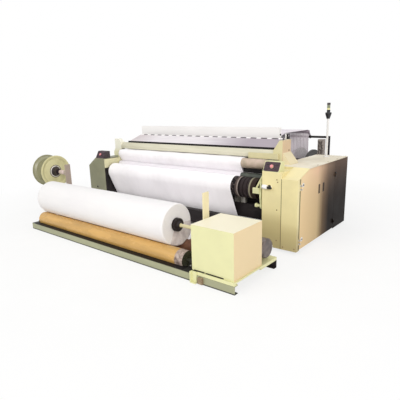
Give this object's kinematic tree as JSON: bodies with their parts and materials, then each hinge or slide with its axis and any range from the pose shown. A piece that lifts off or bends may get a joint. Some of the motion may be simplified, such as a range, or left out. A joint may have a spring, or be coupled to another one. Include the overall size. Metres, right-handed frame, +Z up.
{
  "type": "weaving loom with batching winder",
  "caption": "Weaving loom with cream drive cabinet, doors, signal tower, breast beam and take-up roller, and a floor-standing cloth batching winder with ochre rollers and side reel.",
  "frame": {"origin": "centre of the footprint's box, on the floor", "axes": "+X to the right along the weaving width, +Y to the back (warp side), +Z up"},
  "size_m": [3.9884, 3.433, 1.588],
  "materials": {
    "cream_paint": "semi-gloss cream paint",
    "green_paint": "semi-gloss grey-green paint",
    "door_paint": "semi-gloss tan paint",
    "dark_paint": "satin dark paint",
    "casting": "painted casting",
    "steel": "ground steel",
    "stainless": "brushed stainless sheet",
    "grip_rubber": "roughened rubber covering",
    "roller_cover": "smooth ochre rubber covering",
    "heald_alloy": "white anodised",
    "panel_plastic": "moulded",
    "button_red": "moulded",
    "lever_white": "moulded",
    "lamp": "moulded stack of lenses",
    "cloth": "plain woven",
    "yarn": "filament yarn",
    "tube": "wound tube on a steel shaft"
  },
  "bodies": {
    "machine": {"side_frame_left": "casting", "side_frame_right": "casting", "front_lower_beam": "dark_paint", "rear_cross_beam": "dark_paint", "levelling_feet": "steel", "drip_tray": "dark_paint", "left_cabinet": "green_paint", "left_control_box": "panel_plastic", "right_base": "green_paint", "column_cover": "cream_paint", "front_cover": "cream_paint", "top_cover": "cream_paint", "rear_side_panel": "dark_paint", "hinge_pins": "steel", "right_control_box": "cream_paint", "main_motor": "casting", "tower_pole": "lever_white", "signal_lamp": "lamp", "breast_beam": "cream_paint", "press_lever": "cream_paint", "front_top_beam": "cream_paint", "splash_plate": "stainless", "top_bracket_left": "cream_paint", "top_bracket_right": "cream_paint", "rear_stand_left": "casting", "rear_stand_right": "casting", "rear_tie_bar": "dark_paint", "warp_sheet": "yarn", "cloth_web": "cloth", "front_rail": "green_paint", "rear_rail": "green_paint", "end_members": "green_paint", "pillow_blocks": "casting", "guide_posts": "cream_paint", "drive_box": "cream_paint", "base_angles": "cream_paint", "gear_motor": "casting", "drive_chain": "steel"},
    "front_door": {"front_door": "door_paint"},
    "rear_door": {"rear_door": "dark_paint"},
    "right_stop_button": {"right_stop_button": "button_red"},
    "left_stop_button": {"left_stop_button": "button_red"},
    "release_lever": {"release_lever": "lever_white"},
    "take_up": {"take_up_roller": "grip_rubber"},
    "press": {"press_roller": "steel"},
    "floor_guide": {"floor_guide_roller": "steel"},
    "main_shaft": {"main_shaft": "steel"},
    "sley": {"sley": "steel"},
    "heald_front": {"heald_frame_front": "heald_alloy"},
    "heald_rear": {"heald_frame_rear": "heald_alloy"},
    "warp_beam": {"warp_beam": "steel", "yarn_package": "yarn"},
    "back_rest": {"back_rest_roller": "steel"},
    "warp_guide": {"warp_guide_roller": "steel"},
    "cloth_roll": {"cloth_roll": "cloth", "roll_core": "tube"},
    "front_roller": {"front_roller": "roller_cover"},
    "rear_roller": {"rear_roller": "roller_cover"},
    "motor_sprocket": {"motor_sprocket": "steel"},
    "reel": {"reel": "cream_paint"}
  },
  "joints": [
    {"name": "front_door_hinge", "type": "hinge", "parent": "machine", "child": "front_door", "pos_m": [1.9852, -0.4655, 0.43], "axis": [0, 0, 1], "range_deg": [-110, 0]},
    {"name": "rear_door_hinge", "type": "hinge", "parent": "machine", "child": "rear_door", "pos_m": [1.9852, 0.4915, 0.43], "axis": [0, 0, 1], "range_deg": [0, 110]},
    {"name": "right_stop_press", "type": "slide", "parent": "machine", "child": "right_stop_button", "axis": [0, 0.866, -0.5], "range_m": [0, 0.006], "stiffness_N_per_m": 1200, "springref_m": -0.004},
    {"name": "left_stop_press", "type": "slide", "parent": "machine", "child": "left_stop_button", "axis": [0, 0.866, -0.5], "range_m": [0, 0.006], "stiffness_N_per_m": 1200, "springref_m": -0.004},
    {"name": "release_turn", "type": "hinge", "parent": "machine", "child": "release_lever", "pos_m": [1.6618, -0.5385, 0.716], "axis": [0, 1, 0], "range_deg": [-45, 45]},
    {"name": "take_up_spin", "type": "hinge", "parent": "machine", "child": "take_up", "pos_m": [0.1758, -0.3685, 0.64], "axis": [1, 0, 0], "continuous": true},
    {"name": "press_spin", "type": "hinge", "parent": "machine", "child": "press", "pos_m": [0.1758, -0.23485, 0.74442], "axis": [1, 0, 0], "continuous": true},
    {"name": "floor_guide_spin", "type": "hinge", "parent": "machine", "child": "floor_guide", "pos_m": [0.1758, -0.2985, 0.078], "axis": [1, 0, 0], "continuous": true},
    {"name": "main_shaft_spin", "type": "hinge", "parent": "machine", "child": "main_shaft", "pos_m": [1.5518, 0.5815, 0.33], "axis": [1, 0, 0], "continuous": true},
    {"name": "sley_rock", "type": "hinge", "parent": "machine", "child": "sley", "pos_m": [0.1758, 0.0815, 0.42], "axis": [1, 0, 0], "range_deg": [0, 11.4], "deforming": ["warp_sheet"]},
    {"name": "heald_front_lift", "type": "slide", "parent": "machine", "child": "heald_front", "axis": [0, 0, 1], "range_m": [-0.05, 0.05], "deforming": ["warp_sheet"]},
    {"name": "heald_rear_lift", "type": "slide", "parent": "machine", "child": "heald_rear", "axis": [0, 0, 1], "range_m": [-0.05, 0.05], "deforming": ["warp_sheet"]},
    {"name": "warp_beam_spin", "type": "hinge", "parent": "machine", "child": "warp_beam", "pos_m": [0.1758, 1.3315, 0.56], "axis": [1, 0, 0], "continuous": true},
    {"name": "back_rest_spin", "type": "hinge", "parent": "machine", "child": "back_rest", "pos_m": [0.1758, 1.6215, 1.164], "axis": [1, 0, 0], "continuous": true},
    {"name": "warp_guide_spin", "type": "hinge", "parent": "machine", "child": "warp_guide", "pos_m": [0.1758, 0.8665, 1.153], "axis": [1, 0, 0], "continuous": true},
    {"name": "cloth_roll_spin", "type": "hinge", "parent": "machine", "child": "cloth_roll", "pos_m": [0.1758, -1.3865, 0.40222], "axis": [1, 0, 0], "continuous": true},
    {"name": "front_roller_spin", "type": "hinge", "parent": "machine", "child": "front_roller", "pos_m": [0.1758, -1.5315, 0.121], "axis": [1, 0, 0], "continuous": true},
    {"name": "rear_roller_spin", "type": "hinge", "parent": "machine", "child": "rear_roller", "pos_m": [0.1758, -1.2415, 0.121], "axis": [1, 0, 0], "continuous": true},
    {"name": "motor_spin", "type": "hinge", "parent": "machine", "child": "motor_sprocket", "pos_m": [1.5358, -1.0905, 0.24], "axis": [1, 0, 0], "continuous": true},
    {"name": "reel_spin", "type": "hinge", "parent": "machine", "child": "reel", "pos_m": [-1.8242, -1.0635, 0.69], "axis": [1, 0, 0], "continuous": true}
  ],
  "couplings": [
    {"joint": "press_spin", "follows": "take_up_spin", "ratio": -2.7727},
    {"joint": "floor_guide_spin", "follows": "take_up_spin", "ratio": -3.2105},
    {"joint": "heald_rear_lift", "follows": "heald_front_lift", "ratio": -1},
    {"joint": "back_rest_spin", "follows": "warp_beam_spin", "ratio": 13.333},
    {"joint": "warp_guide_spin", "follows": "warp_beam_spin", "ratio": 9.1429},
    {"joint": "front_roller_spin", "follows": "cloth_roll_spin", "ratio": -2.3978},
    {"joint": "rear_roller_spin", "follows": "cloth_roll_spin", "ratio": -2.3978},
    {"joint": "motor_spin", "follows": "cloth_roll_spin", "ratio": -2.3978}
  ]
}
